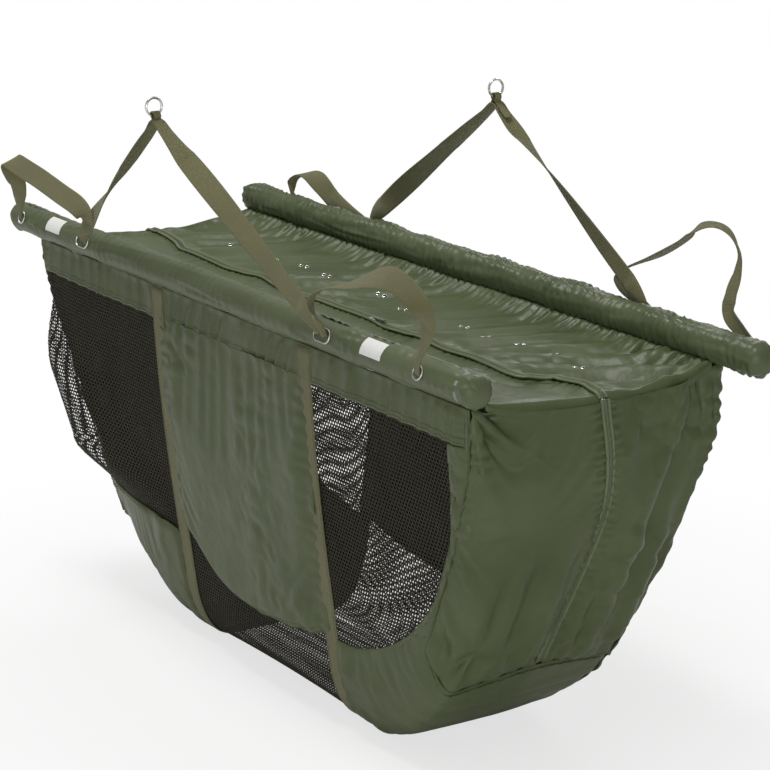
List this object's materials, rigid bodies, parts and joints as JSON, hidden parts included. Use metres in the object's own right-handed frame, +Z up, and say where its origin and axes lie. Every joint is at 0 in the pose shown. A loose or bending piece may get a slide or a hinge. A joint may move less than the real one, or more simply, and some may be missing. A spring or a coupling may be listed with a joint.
{
  "type": "recovery sling",
  "caption": "Zipped nylon and mesh fish recovery sling between two foam float bars, with webbing lifting straps, steel rings and carrying handles.",
  "frame": {"origin": "middle of the sling at the level that it stands on, the underside of its two webbing straps", "axes": "+X along the float bars, +Y from the near side, which carries the zip slider and the labels, to the far side, +Z up"},
  "size_m": [1.27, 0.5194, 0.8118],
  "materials": {
    "nylon": "coated, satin",
    "mesh": "soft mesh, matt",
    "webbing": "woven, matt",
    "foam": "closed-cell foam",
    "rod": "moulded",
    "zip": "nylon coil",
    "metal": "polished",
    "label": "woven, matt"
  },
  "bodies": {
    "near_half": {"near_float_bar": "foam", "near_stiffener_rod": "rod", "near_sleeve": "nylon", "near_sleeve_end": "nylon", "near_tail_eyelet": "metal", "near_tail_inner_eyelet": "metal", "near_flush_inner_eyelet": "metal", "near_flush_eyelet": "metal", "near_top_band": "nylon", "near_left_panel": "nylon", "near_right_panel": "nylon", "near_left_window": "mesh", "near_right_window": "mesh", "near_centre_panel": "nylon", "floor_mesh": "mesh", "near_left_strap": "webbing", "near_right_strap": "webbing", "left_end_near_panel": "nylon", "right_end_near_panel": "nylon", "near_cover_strip": "nylon", "zip_coil": "zip", "left_label": "label", "right_label": "label"},
    "far_half": {"far_float_bar": "foam", "far_stiffener_rod": "rod", "far_sleeve": "nylon", "far_sleeve_end": "nylon", "far_tail_eyelet": "metal", "far_tail_inner_eyelet": "metal", "far_flush_inner_eyelet": "metal", "far_flush_eyelet": "metal", "far_top_band": "nylon", "far_left_panel": "nylon", "far_right_panel": "nylon", "far_left_window": "mesh", "far_right_window": "mesh", "far_centre_panel": "nylon", "far_lower_mesh": "mesh", "far_left_strap": "webbing", "far_right_strap": "webbing", "left_end_far_panel": "nylon", "right_end_far_panel": "nylon"},
    "cover": {"cover": "nylon"},
    "near_lifting_strap": {"near_lifting_strap": "webbing", "near_ring_tab": "webbing"},
    "near_ring": {"near_ring": "metal"},
    "far_lifting_strap": {"far_lifting_strap": "webbing", "far_ring_tab": "webbing"},
    "far_ring": {"far_ring": "metal"},
    "near_left_handle": {"near_left_handle": "webbing"},
    "near_right_handle": {"near_right_handle": "webbing"},
    "far_left_handle": {"far_left_handle": "webbing"},
    "far_right_handle": {"far_right_handle": "webbing"},
    "zip_slider": {"zip_slider": "metal"},
    "zip_puller": {"zip_puller": "zip"}
  },
  "joints": [
    {"name": "sling_close", "type": "hinge", "parent": "near_half", "child": "far_half", "pos_m": [0, 0.07, 0.0033], "axis": [1, 0, 0], "range_deg": [0, 16], "deforming": ["cover", "left_end_far_panel", "right_end_far_panel"]},
    {"name": "cover_open", "type": "hinge", "parent": "far_half", "child": "cover", "pos_m": [0, 0.1825, 0.548], "axis": [-1, 0, 0], "range_deg": [0, 90]},
    {"name": "near_lifting_strap_swing", "type": "hinge", "parent": "near_half", "child": "near_lifting_strap", "pos_m": [0, -0.2039, 0.55495], "axis": [1, 0, 0], "range_deg": [-17, 135]},
    {"name": "near_ring_swing", "type": "hinge", "parent": "near_lifting_strap", "child": "near_ring", "pos_m": [-0.07, -0.24825, 0.78313], "axis": [0, 0.9816, 0.1908], "range_deg": [-95, 95]},
    {"name": "far_lifting_strap_swing", "type": "hinge", "parent": "far_half", "child": "far_lifting_strap", "pos_m": [0, 0.2039, 0.55495], "axis": [-1, 0, 0], "range_deg": [-3, 149]},
    {"name": "far_ring_swing", "type": "hinge", "parent": "far_lifting_strap", "child": "far_ring", "pos_m": [0.07, 0.19173, 0.78708], "axis": [0, 0.9986, 0.0523], "range_deg": [-95, 95]},
    {"name": "near_left_handle_swing", "type": "hinge", "parent": "near_half", "child": "near_left_handle", "pos_m": [-0.485, -0.2039, 0.55495], "axis": [1, 0, 0], "range_deg": [-14, 112]},
    {"name": "near_right_handle_swing", "type": "hinge", "parent": "near_half", "child": "near_right_handle", "pos_m": [0.364, -0.2039, 0.55495], "axis": [1, 0, 0], "range_deg": [-14, 112]},
    {"name": "far_left_handle_swing", "type": "hinge", "parent": "far_half", "child": "far_left_handle", "pos_m": [-0.364, 0.2039, 0.55495], "axis": [-1, 0, 0], "range_deg": [-14, 112]},
    {"name": "far_right_handle_swing", "type": "hinge", "parent": "far_half", "child": "far_right_handle", "pos_m": [0.485, 0.2039, 0.55495], "axis": [-1, 0, 0], "range_deg": [-14, 112]},
    {"name": "zip_slide", "type": "slide", "parent": "near_half", "child": "zip_slider", "axis": [1, 0, 0], "range_m": [-0.508, 0.272]},
    {"name": "zip_puller_flip", "type": "hinge", "parent": "zip_slider", "child": "zip_puller", "pos_m": [0.118, -0.0818, 0.52538], "axis": [0, -1, 0], "range_deg": [0, 150]}
  ]
}
